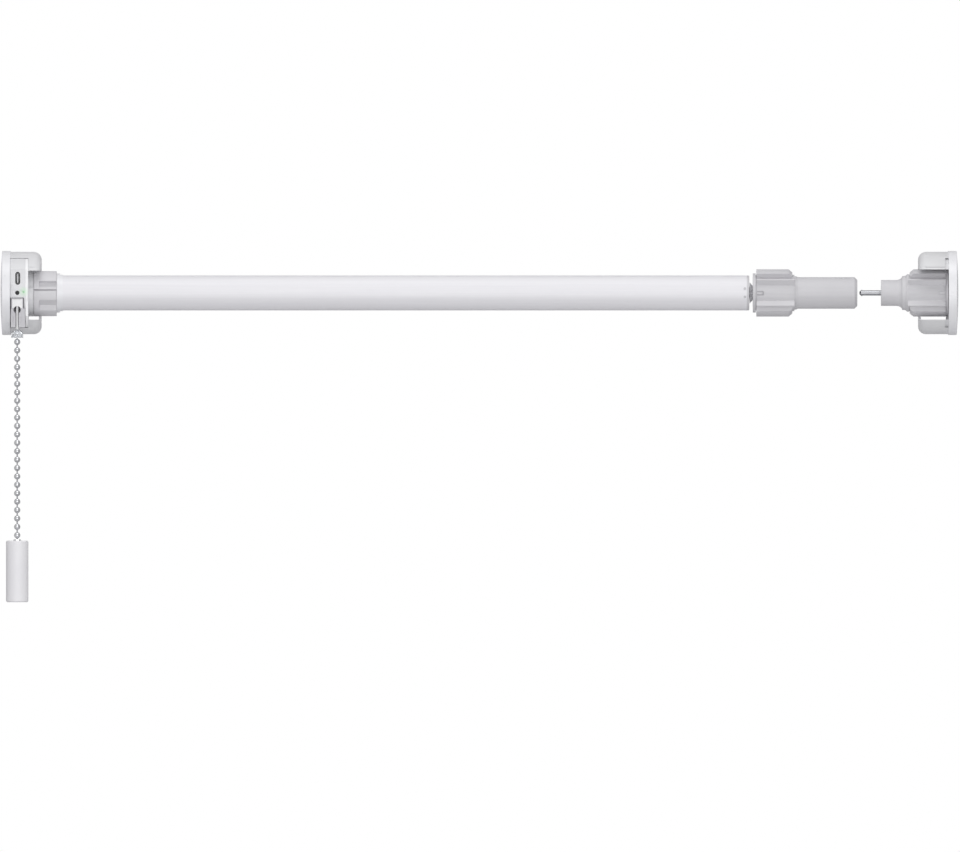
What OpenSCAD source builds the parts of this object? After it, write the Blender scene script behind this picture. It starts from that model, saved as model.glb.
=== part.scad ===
// Tubular roller blind motor with its bead chain control, its two wall brackets and its idler.
// Lengths are in millimetres. X runs from the motor's bracket to the idler's bracket,
// Y runs towards the wall and Z runs up.
// Stations along X are counted from the outer face of the motor side's cap. place() then moves
// the whole set, so that the origin is the middle of the motor bracket's wall flange.

/* [Whole set] */
// Distance from the motor's axis to the wall, which is also the radius of the round caps
axis_to_wall = 30; // [27:0.5:36]
// Length from the outer face of one cap to the outer face of the other
overall_length = 684.4; // [615:0.1:900]
// Gap between the drive adapter and the tip of the idler's axle
tip_gap = 1.6; // [1:0.1:20]
// Running clearance on the radius between a turning piece and what it turns on
running_gap = 0.06; // [0.02:0.01:0.1]

/* [Brackets] */
// Thickness of the cap from its outer face to the drum
cap_depth = 7; // [5:0.1:10]
// How far the cap's outer face bulges
cap_bulge = 1.1; // [0.5:0.1:3]
// Rounding of the cap's outer edge
cap_edge = 2; // [1:0.1:3]
// How far the drum stays inside the cap's rim
drum_step = 0.6; // [0.3:0.1:2]
// Wall of the drum
drum_wall = 2; // [1.5:0.1:3]
// Rounding of the drum's free end
drum_corner = 5.6; // [3:0.1:8]
// Depth of the motor side's drum
motor_drum_depth = 22; // [18:0.1:30]
// Depth of the idler side's drum
idler_drum_depth = 21.4; // [18:0.1:30]
// Height of the window in the front of a drum, below the motor's axis
window_half = 19.1; // [15:0.1:22]
// Height of the shallow ledge above that window, over the motor's axis
ledge_top = 18.6; // [17.5:0.1:22]
// Depth of that ledge in the drum's wall
ledge_depth = 0.5; // [0.3:0.1:1]
// Length of the wider window in front of the motor's head
head_window_depth = 13; // [10:0.1:16]
// Width of the groove beside the idler side's cap
idler_groove = 2.5; // [1:0.1:5]
// Depth of that groove
idler_groove_depth = 1.4; // [0.6:0.1:1.6]
// Radius of the opening in a drum's free end
drum_mouth_r = 21.6; // [18:0.1:24]
// Thickness of the steel plates
steel = 2; // [1.5:0.1:3]
// Distance between the two screw slots of a bracket
slot_spacing = 24; // [16:0.5:26]
// Length of a screw slot
slot_length = 6; // [5:0.1:6.4]
// Width of a screw slot
slot_width = 4.5; // [3.5:0.1:6]

/* [Motor head] */
// Gap on the radius between the motor's head and the drum around it
head_gap = 2.6; // [2:0.1:4]
// Length of the head's round housing
head_length = 10.95; // [9.5:0.05:13]
// Thickness of the white flange in front of the housing
head_flange_depth = 1.85; // [1.5:0.05:3]
// Length of the neck between the flange and the crown
neck_length = 3.9; // [3:0.1:6]
// Wall of the head's housing
head_wall = 1.8; // [1.2:0.1:3]
// Height of the charging socket
usb_height = 8.94; // [8.9:0.01:9]
// Thickness of the charging socket
usb_thick = 3.26; // [3:0.01:3.4]
// Height of the charging socket above the motor's axis
usb_z = 10.35; // [8:0.05:11]
// Distance of the charging socket from the head's back
usb_from_back = 5.4; // [4:0.05:5.5]
// Radius of the program button
button_r = 1.45; // [0.8:0.05:1.5]
// Travel of the program button
button_travel = 0.5; // [0.3:0.1:1]

/* [Pull control] */
// Distance of the pull wire and the chain from the head's back
pull_from_back = 5; // [3.8:0.05:5.2]
// How far behind the head's front the chain hangs
pull_inset = 2.8; // [2.4:0.1:3.2]
// Travel of the pull slider
pull_travel = 6; // [3:0.5:7]
// Radius of a bead
bead_r = 2.25; // [1.6:0.05:2.5]
// Distance from bead to bead
bead_pitch = 6; // [5:0.1:8]
// Number of beads, with the one that is held in the connector
bead_count = 25; // [10:1:60]
// Radius of the wire between the beads
link_r = 0.6; // [0.3:0.05:0.8]
// Radius of the pendant
pendant_r = 8; // [6:0.1:12]
// Length of the pendant
pendant_length = 44; // [30:0.5:80]

/* [Crown on the motor head] */
// Length of the crown
crown_length = 16.4; // [12:0.1:20]
// Wall of the crown between its lugs
crown_wall = 1.8; // [1.4:0.1:3]
// Height of the crown's lugs
crown_lug_height = 2.2; // [1.6:0.1:4]
// Length of the first collar between the crown and the tube
collar_length = 2.2; // [1.5:0.1:4]
// Length of the second collar
second_collar_length = 2.1; // [1.5:0.1:4]

/* [Motor tube] */
// Outer radius of the tube
tube_r = 12.5; // [11:0.1:14]
// Wall of the tube
tube_wall = 1.2; // [0.8:0.1:1.6]
// Radius of a battery cell
cell_r = 9.2; // [7:0.1:10]
// Length of a battery cell
cell_length = 65; // [50:0.1:72]
// Length of the control board
board_length = 80; // [60:0.5:100]
// Width of the control board
board_width = 18; // [12:0.1:19]

/* [Motor and gearbox] */
// Length of the motor's can
motor_length = 42; // [36:0.1:50]
// Radius of the rotor's shaft
rotor_shaft_r = 1; // [0.8:0.05:1.3]
// Wall of the ring gear behind its teeth
ring_wall = 1.22; // [0.8:0.01:2]
// Teeth of a sun gear
sun_teeth = 12; // [12:6:18]
// Teeth of a planet gear
planet_teeth = 18; // [15:3:24]
// Half of the play between two flanks
flank_play = 0.06; // [0.02:0.01:0.1]
// Width of a planet gear
planet_width = 6.5; // [5:0.1:8]
// Radius of a planet's pin
pin_r = 1; // [0.8:0.1:1.5]
// Radius of the output shaft
shaft_r = 4; // [3:0.1:4.4]
// Distance across the flats of the output shaft's end
shaft_flats = 8; // [6:0.1:10]
// Length of the output shaft's six-sided end
hex_length = 30; // [24:0.5:34]
// Length of the bush around the output shaft
bush_length = 7; // [5:0.1:10]
// Length of the plug in the tube's end
end_plug_length = 13.2; // [8:0.1:16]

/* [Drive adapter] */
// Distance from the tube's end to the drive adapter
shaft_gap = 4.4; // [4.2:0.1:8]
// Length of the ribs
rib_length = 27.2; // [24:0.1:40]
// Length of the two wide lugs
lug_length = 23; // [18:0.1:26]
// Length of the smooth sleeve behind the ribs
sleeve_length = 44.9; // [20:0.1:60]
// Radius of the grooves
groove_r = 13; // [12:0.1:15]
// Height of the land in front over the grooves
land_height = 0.3; // [0.2:0.1:2]
// Height of the ribs and lugs over the grooves
rib_height = 3.9; // [2.5:0.1:6]
// How much slimmer the smooth sleeve is than the grooves
sleeve_step = 1.7; // [1:0.1:3]

/* [Idler] */
// How far the idler's axle shows in front of its plug
axle_reach = 15.4; // [10:0.1:40]
// Radius of the axle
axle_r = 1.9; // [1.5:0.05:2.4]
// Length of the idler plug
plug_length = 47.9; // [46:0.1:60]
// Radius of the plug's sleeve
plug_sleeve_r = 9.25; // [8:0.05:11]
// Radius of the bush in the plug
bush_r = 3.4; // [2.8:0.1:4.5]

/* [Show] */
// Piece to draw, or all of them

/* [Hidden] */
$fn = 72;

cap_r = axis_to_wall;
drum_r = cap_r - drum_step;
flange_height = 2 * (drum_r - drum_wall - 0.2);
flange_mid = cap_depth + motor_drum_depth / 2;
flange_gap = 2.9;
head_r = drum_r - drum_wall - head_gap;
head_flange_r = head_r - 0.2;
head_window_half = head_r;
head_face_r = drum_r - 0.4;
head_from = cap_depth + 0.1;
head_flange_from = head_from + head_length;
neck_from = head_flange_from + head_flange_depth;
crown_from = neck_from + neck_length;
crown_to = crown_from + crown_length;
tube_from = crown_to + collar_length + second_collar_length;
screw_angles = [20, 160, 270];
screw_ring_r = head_r - 5.3;
usb_x = head_from + usb_from_back;
board_x = usb_x + usb_thick / 2 + 0.07;
button_x = head_from + pull_from_back + 0.1;
button_z = 0;
switch_y = -head_r + 5.7;
light_x = head_from + 9.65;
light_z = 0.7;
pull_x = head_from + pull_from_back;
pull_y = head_r - pull_inset;
pull_hole_z = -12.1;
pull_hole_r = 2.6;
pull_top = -3.9;
pull_foot = -head_r + 0.1;
pull_step = -11.2;
pull_wire_r = 0.95;
swing_z = -head_r - 1.2;
first_bead_z = swing_z - 3.1;
pendant_top = first_bead_z - bead_count * bead_pitch + 2.2;
tube_in_r = tube_r - tube_wall;
bore_r = tube_in_r - 1.9;
crown_sleeve_r = tube_r + 0.1;
crown_base_r = crown_sleeve_r + crown_wall;
crown_lug_r = crown_base_r + crown_lug_height;
crown_land_r = crown_base_r + 1.2;
crown_groove_r = crown_sleeve_r + 0.6;
crown_face = crown_base_r - 3.5;
neck_r = crown_base_r + 1;
collar_r = tube_r + 1.5;
second_collar_r = tube_r + 0.5;
land_r = groove_r + land_height;
rib_r = groove_r + rib_height;
adapter_flange_r = groove_r + 1;
sleeve_r = groove_r - sleeve_step;
plug_flange_r = rib_r - 0.5;
plug_to = overall_length - cap_depth - 0.3;
plug_from = plug_to - plug_length;
axle_from = plug_from - axle_reach;
axle_to = overall_length - cap_depth + steel;
adapter_ribs_from = axle_from - tip_gap - sleeve_length - rib_length;
adapter_from = adapter_ribs_from - 2.5;
hex_room = hex_length;
tube_to = adapter_from - shaft_gap;
end_plug_from = tube_to - end_plug_length;
bush_from = end_plug_from - bush_length;
second_gears = bush_from - 20.7 - planet_width;
first_gears = second_gears - planet_width - 4.1;
gears_to = second_gears + planet_width + 4.9;
motor_to = first_gears - 5.2;
motor_from = motor_to - motor_length;
can_r = tube_in_r - 0.9;
magnet_r = can_r - 0.8;
rotor_r = magnet_r - 2.9;
board_to = motor_from - 12;
board_from = board_to - board_length;
cells_from = tube_from + 17.5;
ring_teeth = sun_teeth + 2 * planet_teeth;
gear_module = (tube_in_r - ring_wall) / (ring_teeth / 2 + 1.2);
planet_orbit = gear_module * (sun_teeth + planet_teeth) / 2;
carrier_r = planet_orbit + 2.2;

module place() { translate([-flange_mid, -axis_to_wall, 0]) children(); }

// A round bar along X, from station x
module bar(x, length, r) { translate([x, 0, 0]) rotate([0, 90, 0]) cylinder(r = r, h = length); }

// A ring along X
module ring(x, length, outer, inner) {
  difference() { bar(x, length, outer); bar(x - 1, length + 2, inner); }
}

// A turned piece around X from an outline of [radius, station] points
module turned() { rotate([0, 90, 0]) rotate_extrude() children(); }

// A flat outline in Y and Z, made solid along X from station x
module along_x(x, length) { translate([x, 0, 0]) rotate([90, 0, 90]) linear_extrude(length) children(); }

// A flat outline in X and Z, made solid from y to y_end
module along_y(y, y_end) { translate([0, y_end, 0]) rotate([90, 0, 0]) linear_extrude(y_end - y) children(); }

// A point at an angle that is counted upwards from the front
function at(r, a) = [-r * cos(a), r * sin(a)];

module wedge(from, to, r) { polygon([[0, 0], at(r, from), at(r, (from + to) / 2), at(r, to)]); }

module sector(from, to, r) { intersection() { circle(r = r); wedge(from, to, 2 * r); } }

// The idler's bracket is a mirror image of the motor's
module idler_side() { translate([overall_length, 0, 0]) mirror([1, 0, 0]) children(); }

// Round in front, straight sided towards the wall
module bracket_outline(r, to_wall) { circle(r = r); translate([0, -r]) square([to_wall, 2 * r]); }

// Half of a cup's side view as [radius, station], with a rounded free end
module cup_half(r, from, to, corner) {
  translate([0, from]) square([r, to - corner - from]);
  translate([0, from]) square([r - corner, to - from]);
  translate([r - corner, to - corner]) circle(r = corner);
}

module cup(r, from, to, corner, to_wall) {
  turned() cup_half(r, from, to, corner);
  for (side = [0, 1]) mirror([0, 0, side]) along_y(0, to_wall)
    mirror([1, -1]) cup_half(r, from, to, corner);
}

module cap_half(r) {
  dome = (r * r + cap_bulge * cap_bulge) / (2 * cap_bulge);
  intersection() {
    union() {
      translate([0, cap_edge]) square([r, cap_depth - cap_edge]);
      square([r - cap_edge, cap_depth]);
      translate([r - cap_edge, cap_edge]) circle(r = cap_edge);
    }
    translate([0, dome]) circle(r = dome, $fn = 720);
  }
}

module cap() {
  difference() {
    union() {
      turned() cap_half(cap_r);
      for (side = [0, 1]) mirror([0, 0, side]) along_y(0, axis_to_wall) mirror([1, -1]) cap_half(cap_r);
    }
    along_x(cap_depth - steel, steel + 1) bracket_outline(drum_r - drum_wall, axis_to_wall + 1);
    along_x(cap_depth - steel - 2.4, 3) bracket_outline(drum_r - drum_wall - 1.4, axis_to_wall - 3);
  }
}

module drum(depth, window_top) {
  difference() {
    cup(drum_r, cap_depth, cap_depth + depth, drum_corner, axis_to_wall);
    cup(drum_r - drum_wall, cap_depth - 1, cap_depth + depth - drum_wall, drum_corner - drum_wall,
        axis_to_wall + 1);
    along_x(cap_depth + depth - 3, 4) bracket_outline(drum_mouth_r, axis_to_wall - steel);
    translate([cap_depth - 1, -40, -window_half]) cube([depth + 2, 30, window_half + window_top]);
    intersection() {
      translate([cap_depth - 1, -40, window_top - 0.1]) cube([depth + 2, 32, ledge_top - window_top + 0.1]);
      ring(cap_depth - 1, depth + 2, drum_r + 1, drum_r - ledge_depth);
    }
  }
}

module steel_plate(depth) {
  difference() {
    union() {
      along_x(cap_depth - steel, steel) intersection() {
        bracket_outline(drum_r - drum_wall - 0.2, axis_to_wall);
        translate([-40, -flange_height / 2]) square([80, flange_height]);
      }
      for (side = [0, 1]) mirror([0, 0, side]) along_y(axis_to_wall - steel, axis_to_wall) mirror([1, -1])
        cup_half(flange_height / 2, cap_depth - steel, cap_depth + depth - drum_wall - 0.1,
                 drum_corner - drum_wall);
    }
    for (side = [-1, 1])
      along_y(axis_to_wall - 5, axis_to_wall + 1)
        translate([flange_mid, side * slot_spacing / 2]) {
          square([slot_width, slot_length - slot_width], center = true);
          for (end = [-1, 1]) translate([0, end * (slot_length - slot_width) / 2]) circle(r = slot_width / 2);
        }
    along_y(axis_to_wall - 5, axis_to_wall + 1)
      translate([cap_depth + 1.5, -window_half - 0.5]) square([depth, flange_gap]);
  }
}

module motor_cap() { color([0.93, 0.93, 0.94]) place() cap(); }
module idler_cap() { color([0.93, 0.93, 0.94]) place() idler_side() cap(); }

module motor_drum() {
  color([0.9, 0.9, 0.91]) place() difference() {
    drum(motor_drum_depth, crown_land_r + 0.3);
    translate([cap_depth - 1, -40, -head_window_half - 0.2])
      cube([head_window_depth + 1, 32, 2 * head_window_half + 0.2]);
  }
}

module idler_drum() {
  color([0.9, 0.9, 0.91]) place() idler_side() difference() {
    drum(idler_drum_depth, rib_r - 0.2);
    intersection() {
      translate([cap_depth - 1, -40, -head_window_half]) cube([idler_groove + 1, 32, 2 * head_window_half]);
      ring(cap_depth - 1, idler_groove + 1, drum_r + 1, drum_r - idler_groove_depth);
    }
  }
}

module motor_plate() {
  color([0.88, 0.88, 0.89]) place() difference() {
    steel_plate(motor_drum_depth);
    for (side = [-1, 1]) translate([0, -4, side * 14 - 1.6]) cube([20, 8, 3.2]);
    bar(0, 20, 6);
  }
}

module idler_plate() {
  color([0.88, 0.88, 0.89]) place() idler_side() difference() {
    steel_plate(idler_drum_depth);
    bar(0, 20, axle_r);
  }
}

// The face around the charging socket and the button. It is flat in the middle and follows the drum above.
module control_face() {
  intersection() {
    translate([head_from, -head_r + 1.2, -2.4]) cube([head_length, 14, 27]);
    bar(head_from, head_length, head_face_r);
  }
}

// The room in the head that the pull control fills, wider below the control's step
module pull_room(to) {
  for (room = [[to, pull_top + 0.4], [head_flange_from, pull_step + 0.15]])
    translate([0, -head_r - 15.2, pull_foot - 1]) cube([room.x, 26.4, room.y - pull_foot + 1]);
}

module head_housing() {
  color([0.94, 0.94, 0.95]) place() difference() {
    union() {
      difference() {
        bar(head_from, head_length, head_r);
        bar(head_from - 1, head_length - 0.4, head_r - head_wall);
      }
      control_face();
      turned() polygon([
        [bore_r, head_flange_from - 1.4], [head_r - 4.8, head_flange_from - 1.4],
        [head_r - 4.8, head_flange_from],
        [neck_r, head_flange_from], [neck_r, crown_from - 0.1], [crown_sleeve_r, crown_from - 0.1],
        [crown_sleeve_r, tube_from], [tube_in_r, tube_from], [tube_in_r, tube_from + 14],
        [bore_r, tube_from + 14]
      ]);
      for (a = screw_angles) rotate([a, 0, 0]) translate([0, 0, screw_ring_r])
        bar(head_from + 1.6, 8, 2.2);
      for (p = [[-10, 13.6], [8, -12], [7.5, 13.6]]) translate([0, p.x, p.y]) bar(board_x + 1.5, 1.3, 1.5);
    }
    bar(head_from, 80, bore_r);
    bar(head_from - 1, 2.6, head_r - head_wall);
    pull_room(head_flange_from - 1.05);
    along_y(-40, -12) translate([usb_x, usb_z]) usb_outline(0.12);
    along_y(-40, -12) translate([button_x, button_z]) circle(r = button_r + 0.1);
    along_y(-40, -12) translate([light_x, light_z]) circle(r = 0.8);
    translate([head_from + 2.5, -head_r + 4.2, -3]) cube([6.8, 12, 19]);
    for (a = screw_angles) rotate([a, 0, 0]) translate([0, 0, screw_ring_r]) bar(head_from, 7, 0.9);
    translate([neck_from + 0.2, -neck_r - 1, 3.8]) cube([neck_length - 0.5, 3.2, 1.4]);
  }
}

// A round disc whose front is as flat and as tall as the face beside it
module head_flange() {
  color([0.97, 0.97, 0.97]) place() {
    turned() polygon([
      [neck_r, head_flange_from], [head_flange_r, head_flange_from], [head_flange_r, neck_from - 0.3],
      [head_flange_r - 0.3, neck_from], [neck_r, neck_from]
    ]);
    intersection() {
      translate([head_flange_from, -head_r + 1, pull_foot]) cube([head_flange_depth, 8, -2 * pull_foot]);
      bar(head_flange_from, head_flange_depth, head_face_r);
    }
  }
}

module head_back_plate() {
  color([0.7, 0.71, 0.73]) place() {
    difference() {
      union() {
        bar(head_from, 1.5, head_r - head_wall - 0.1);
        bar(cap_depth, 0.5, 11);
      }
      pull_room(20);
      for (a = screw_angles) rotate([a, 0, 0]) translate([0, 0, screw_ring_r]) {
        bar(0, 20, 1);
        bar(0, cap_depth + 1.2, 2.05);
      }
      bar(0, 20, 4);
    }
    for (side = [-1, 1]) translate([cap_depth - steel - 1.6, -3.6, side * 14 - 1.3]) {
      cube([4.2, 5.4, 2.6]);
      translate([0, 0, side > 0 ? 0 : -1.8]) cube([1.5, 5.4, 4.4]);
    }
  }
}

module head_screws() {
  color([0.6, 0.6, 0.62]) place() for (a = screw_angles) rotate([a, 0, 0]) translate([0, 0, screw_ring_r]) {
    bar(head_from + 0.7, 6, 0.85);
    difference() {
      bar(head_from + 0.05, 0.8, 1.9);
      translate([head_from, -0.3, -1.5]) cube([0.35, 0.6, 3]);
    }
  }
}

module head_board() {
  color([0.1, 0.35, 0.2]) place() along_x(board_x, 1.5) difference() {
    union() {
      translate([-head_r + 4.4, -2]) square([head_r + 5.2, 18]);
      translate([-head_r + 11.8, -14]) square([head_r - 0.8, 14]);
    }
    circle(r = 4);
  }
}

// Rounded outline of the charging socket
module usb_outline(grow) {
  round_r = usb_thick / 2 + grow;
  straight = usb_height - usb_thick;
  square([2 * round_r, straight], center = true);
  for (end = [-1, 1]) translate([0, end * straight / 2]) circle(r = round_r);
}

module charging_shell() {
  color([0.2, 0.2, 0.21]) place() translate([usb_x, 0, usb_z]) {
    difference() {
      along_y(-head_r + 1.1, -head_r + 8.4) usb_outline(0);
      along_y(-head_r, -head_r + 7.8) usb_outline(-0.35);
    }
    translate([usb_thick / 2 - 0.2, -head_r + 5.3, -3]) cube([0.27, 2.4, 6]);
  }
}

module charging_tongue() {
  color([0.35, 0.35, 0.36]) place() translate([usb_x, 0, usb_z]) {
    translate([-0.35, -head_r + 2, -3.3]) cube([0.7, 5.8, 6.6]);
    along_y(-head_r + 6.6, -head_r + 7.8) usb_outline(-0.4);
  }
}

module program_button() {
  color([0.05, 0.05, 0.05]) place() translate([button_x, 0, button_z]) {
    along_y(-head_r + 0.7, switch_y - button_travel) circle(r = button_r);
    along_y(switch_y - 1.4, switch_y - button_travel) circle(r = button_r + 0.45);
  }
}

module button_switch() {
  color([0.15, 0.15, 0.16]) place() {
    translate([board_x - 3.8, switch_y + 0.5, -1.4]) cube([3.8, 3.6, 3.8]);
    translate([button_x, 0, button_z]) along_y(switch_y, switch_y + 0.5) circle(r = 0.9);
  }
}

module light_guide() {
  color([0.75, 0.95, 0.78, 0.8]) place() translate([light_x, 0, light_z])
    along_y(-head_r + 1, -head_r + 7.8) circle(r = 0.75);
}

// From the back lower corner of the pull control's front face
module at_pull() { translate([head_from + 0.5, -head_r, 0]) children(); }

module pull_frame() {
  color([0.8, 0.8, 0.81]) place() difference() {
    at_pull() difference() {
      union() {
        translate([0, 0, pull_foot]) cube([9.3, 10.8, pull_top - pull_foot]);
        translate([0, 0, pull_foot]) cube([head_length - 0.75, 10.8, pull_step - pull_foot]);
        translate([0, -0.8, pull_foot]) cube([head_length - 0.75, 1, 2.1]);
      }
      translate([0.8, 1.1, -16.8]) cube([7.1, 8.4, 12.2]);
      translate([1, -5, -10.9]) cube([7.2, 6.8, 6.4]);
      translate([8.85, -5, pull_step]) cube([2, 11.8, 20]);
      translate([-0.6, -5, pull_step]) cube([0.95, 11.8, 20]);
    }
    along_y(-head_r - 5, -head_r + 1.8) translate([pull_x, pull_hole_z]) circle(r = pull_hole_r);
    translate([pull_x - 1.15, -head_r - 5, pull_foot - 1]) cube([2.3, 8.7, -11.9 - pull_foot]);
    translate([pull_x, -pull_y, pull_foot - 1]) cylinder(r = pull_wire_r + 0.3, h = 12);
    for (side = [-1, 1]) translate([pull_x + side * 2.9 - 0.5, -head_r - 5, -21.8]) cube([1, 5.3, 4.6]);
  }
}

module pull_cover() {
  color([0.95, 0.95, 0.95]) place() difference() {
    at_pull() translate([1, 0.2, -10.9]) cube([7.2, 0.9, 6.4]);
    along_y(-head_r - 5, -head_r + 5) translate([pull_x, pull_hole_z]) circle(r = pull_hole_r);
  }
}

module pull_slider() {
  color([0.85, 0.85, 0.84]) place() difference() {
    at_pull() translate([0.95, 1.4, -9.6]) cube([6.8, 8, 4.8]);
    translate([pull_x, -pull_y, -7]) mirror([0, 0, 1]) cylinder(r = pull_wire_r, h = 10);
  }
}

module pull_spring() {
  turns = 4;
  color([0.7, 0.7, 0.72]) place() translate([pull_x, -head_r + 7, -16.6])
    linear_extrude(height = 6.8, twist = -360 * turns, slices = 18 * turns, $fn = 8)
      translate([1.5, 0]) circle(r = 0.24, $fn = 8);
}

// The wire ends in a crimp that the connector swings on
module pull_wire() {
  color([0.95, 0.95, 0.94]) place() translate([pull_x, -pull_y, 0]) {
    translate([0, 0, swing_z + 0.25]) cylinder(r = pull_wire_r, h = -7.25 - swing_z);
    translate([0, 0, swing_z + 0.55]) cylinder(r = pull_wire_r + 0.2, h = 0.8);
  }
}

module pull_switch() {
  color([0.12, 0.12, 0.13]) place() translate([head_from + 2.75, -head_r + 11.9, -12.6])
    cube([4.2, 3.4, 5.6]);
}

module chain_connector() {
  color([0.9, 0.92, 0.93]) place() translate([pull_x, -pull_y, swing_z]) difference() {
    rotate_extrude() polygon([
      [0, 0], [0.2, 0], [0.6, -0.25], [1.4, -0.4], [2.2, -0.8], [3.2, -1.6], [4, -3.2], [4.3, -4.6],
      [4.3, -6.1], [0, -6.1]
    ]);
    rotate_extrude() polygon([[0, -0.65], [0.8, -0.65], [2.35, -1.8], [2.65, -3.1], [3.7, -6.2], [0, -6.2]]);
  }
}

module bead_chain() {
  color([0.86, 0.86, 0.87]) place() translate([pull_x, -pull_y, 0]) {
    for (i = [0 : bead_count - 1]) translate([0, 0, first_bead_z - i * bead_pitch]) sphere(r = bead_r);
    translate([0, 0, pendant_top - 4]) cylinder(r = link_r, h = first_bead_z - pendant_top + 4);
  }
}

module pendant() {
  color([0.88, 0.88, 0.89]) place() translate([pull_x, -pull_y, pendant_top]) difference() {
    rotate_extrude() polygon([
      [0, 0], [pendant_r - 0.8, 0], [pendant_r, -0.8], [pendant_r, 0.8 - pendant_length],
      [pendant_r - 0.8, -pendant_length], [0, -pendant_length]
    ]);
    mirror([0, 0, 1]) translate([0, 0, -1]) cylinder(r = 2, h = 7);
  }
}

module pendant_ferrule() {
  color([0.75, 0.75, 0.77]) place() translate([pull_x, -pull_y, pendant_top]) difference() {
    union() {
      translate([0, 0, -5]) cylinder(r = 2, h = 5);
      cylinder(r1 = 3, r2 = 2.4, h = 0.8);
    }
    translate([0, 0, -4]) cylinder(r = link_r, h = 6);
  }
}

// The crown seen along its axis. Each cut runs between two angles down to a radius, the same in front
// and at the back. The lower lug's face is flat, below a slope.
module crown_outline(cuts, flat_face) {
  difference() {
    circle(r = crown_lug_r);
    for (side = [0, 1]) mirror([side, 0]) {
      for (cut = cuts) difference() {
        wedge(cut[0], cut[1], 40);
        circle(r = cut[2]);
      }
      if (flat_face) polygon([
        [crown_lug_r + 1, -3.8], [crown_face, -8.6], [crown_face, -13.4], [crown_lug_r + 1, -13.4]
      ]);
    }
  }
}

module crown() {
  top = [68, 112, crown_land_r];
  slit = [171.2, 174.6, crown_groove_r];
  color([0.78, 0.78, 0.8]) place() difference() {
    union() {
      along_x(crown_from + 0.1, 3.9) crown_outline([top, slit], false);
      along_x(crown_from + 3.9, crown_to - crown_from - 4) crown_outline([
        top, [149, 164, crown_groove_r], [164, 171.2, crown_land_r], slit
      ], true);
    }
    bar(crown_from - 1, crown_length + 2, crown_sleeve_r + running_gap);
  }
}

module crown_collar() {
  color([0.95, 0.95, 0.95]) place() ring(crown_to, collar_length, collar_r, crown_sleeve_r);
}

module tube_collar() {
  color([0.95, 0.95, 0.95]) place()
    ring(crown_to + collar_length, second_collar_length, second_collar_r, crown_sleeve_r);
}

module motor_tube() {
  color([0.93, 0.93, 0.95]) place() difference() {
    ring(tube_from, tube_to - tube_from, tube_r, tube_in_r);
    end_screw_shape();
  }
}

module battery_cells() {
  color([0.3, 0.45, 0.7]) place() for (i = [0 : 2]) {
    bar(cells_from + i * (cell_length + 0.6), cell_length - 1, cell_r);
    bar(cells_from + i * (cell_length + 0.6) + cell_length - 1, 1.3, 3);
  }
}

module battery_tray() {
  color([0.2, 0.2, 0.22]) place() difference() {
    ring(cells_from - 3, 3 * cell_length + 7, tube_in_r - 0.1, cell_r);
    translate([0, -20, -2]) cube([700, 40, 22]);
  }
}

module control_board() {
  color([0.1, 0.35, 0.2]) place() translate([board_from, -board_width / 2, -1])
    cube([board_length, board_width, 1.5]);
}

module board_carrier() {
  color([0.25, 0.25, 0.27]) place() difference() {
    bar(board_from - 4, board_length + 8, tube_in_r - 0.1);
    translate([0, -20, 0.5]) cube([700, 40, 22]);
    translate([board_from, -board_width / 2, -1]) cube([board_length, board_width, 22]);
    translate([board_from + 2, 1.4 - board_width / 2, -7]) cube([board_length - 4, board_width - 2.8, 20]);
  }
}

module motor_can() {
  color([0.7, 0.71, 0.72]) place() difference() {
    bar(motor_from, motor_length, can_r);
    bar(motor_from - 1, motor_length - 0.4, magnet_r);
    bar(motor_from, motor_length + 10, rotor_shaft_r + 0.5);
  }
}

module motor_magnets() {
  color([0.2, 0.2, 0.21]) place() along_x(motor_from + 8, motor_length - 14) difference() {
    union() { sector(-62, 62, magnet_r); rotate(180) sector(-62, 62, magnet_r); }
    circle(r = rotor_r + 0.5);
  }
}

module motor_end_cap() {
  color([0.15, 0.15, 0.16]) place() difference() {
    union() { bar(motor_from - 1.5, 1.5, can_r); bar(motor_from, 3, magnet_r); }
    bar(motor_from - 2, 6, rotor_shaft_r + running_gap);
  }
}

// A gear's outline with true involute flanks, each drawn through a few computed points
function involute(a) = tan(a) * 180 / PI - a;
function half_tooth(teeth, r, play) =
  90 / teeth + play * 180 / PI / (gear_module * teeth / 2)
  + involute(20) - involute(acos(min(1, gear_module * teeth / 2 * cos(20) / r)));
function flank(teeth, low, tip, play, side) =
  [for (i = [0 : 4]) let (r = low + (tip - low) * (side > 0 ? 4 - i : i) / 4)
    [r, side * half_tooth(teeth, r, play)]];

module gear_outline(teeth, root, tip, play) {
  low = max(root, gear_module * teeth / 2 * cos(20) + 0.001);
  tooth = concat(
    [[root, -half_tooth(teeth, low, play)]], flank(teeth, low, tip, play, -1),
    flank(teeth, low, tip, play, 1), [[root, half_tooth(teeth, low, play)]]
  );
  polygon([
    for (t = [0 : teeth - 1], p = tooth)
      [p[0] * cos(p[1] + t * 360 / teeth), p[0] * sin(p[1] + t * 360 / teeth)]
  ]);
}

module outer_gear(teeth) {
  pitch = gear_module * teeth / 2;
  gear_outline(teeth, pitch - 1.2 * gear_module, pitch + 0.8 * gear_module, -flank_play);
}

module planet(x, a) {
  color([0.85, 0.8, 0.65]) place() rotate([a, 0, 0]) translate([0, planet_orbit, 0])
    along_x(x, planet_width) difference() {
      rotate(180 / planet_teeth) outer_gear(planet_teeth);
      circle(r = pin_r + running_gap);
    }
}

module planet_pins(x, length) {
  for (a = [0, 120, 240]) rotate([a, 0, 0]) translate([0, planet_orbit, 0]) bar(x, length, pin_r);
}

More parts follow.
